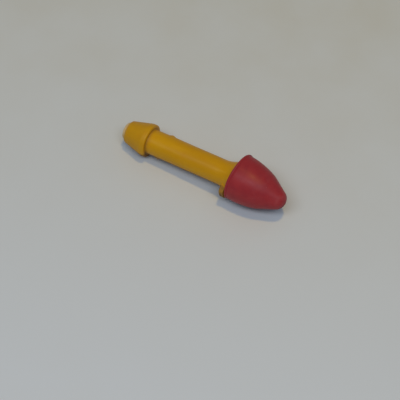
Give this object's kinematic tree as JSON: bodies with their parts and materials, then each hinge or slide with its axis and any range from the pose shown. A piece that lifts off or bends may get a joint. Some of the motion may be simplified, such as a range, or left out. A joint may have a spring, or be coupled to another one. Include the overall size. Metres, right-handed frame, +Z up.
{
  "type": "toy rocket",
  "caption": "Spring-fired toy rocket: a moulded shaft with a cone-shaped catch collar at the tail and a soft bullet-shaped cap on the nose.",
  "frame": {"origin": "on the plane that the rocket lies on, under the middle of its outer box", "axes": "+X along the rocket from tail to nose, level; +Y to its left; +Z up"},
  "size_m": [0.0426, 0.0113, 0.0112],
  "materials": {
    "body_plastic": "satin yellow moulded plastic",
    "cap_rubber": "soft satin red moulded rubber"
  },
  "bodies": {
    "body": {"rocket_body": "body_plastic"},
    "cap": {"nose_cap": "cap_rubber"}
  },
  "joints": [
    {"name": "cap_pull", "type": "slide", "parent": "body", "child": "cap", "axis": [0.9986, 0, 0.0537], "range_m": [0, 0.007]}
  ]
}
